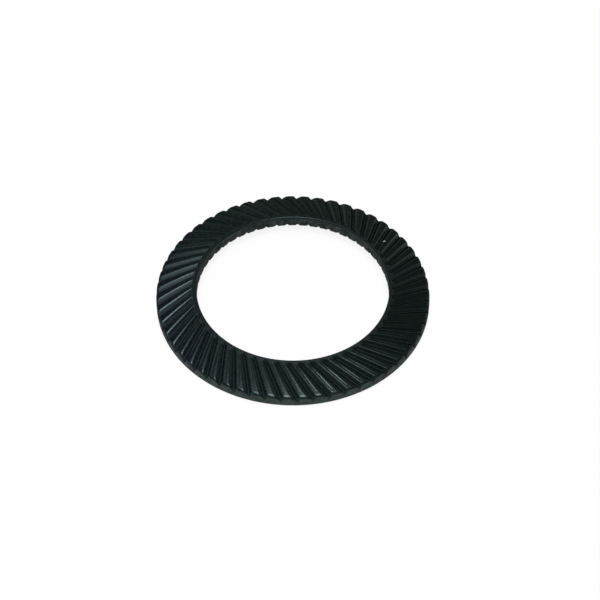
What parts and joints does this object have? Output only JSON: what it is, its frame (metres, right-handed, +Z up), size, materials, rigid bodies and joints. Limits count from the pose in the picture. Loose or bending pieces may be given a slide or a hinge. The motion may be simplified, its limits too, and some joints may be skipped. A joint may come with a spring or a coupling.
{
  "type": "serrated safety washer",
  "caption": "Coned spring-steel lock washer with leaning saw-tooth ridges on both faces and a plain round bore, clamped under a bolt head or nut to stop it loosening.",
  "frame": {"origin": "on the axis of the bore, in the plane that the outer rim rests on", "axes": "+Z up along the bore, towards the raised edge of the bore; X and Y lie in the resting plane"},
  "size_m": [0.045, 0.045, 0.0033],
  "materials": {
    "blackened_steel": "black phosphated and oiled spring steel, satin"
  },
  "bodies": {
    "root": {"serrated_washer": "blackened_steel"}
  },
  "joints": []
}
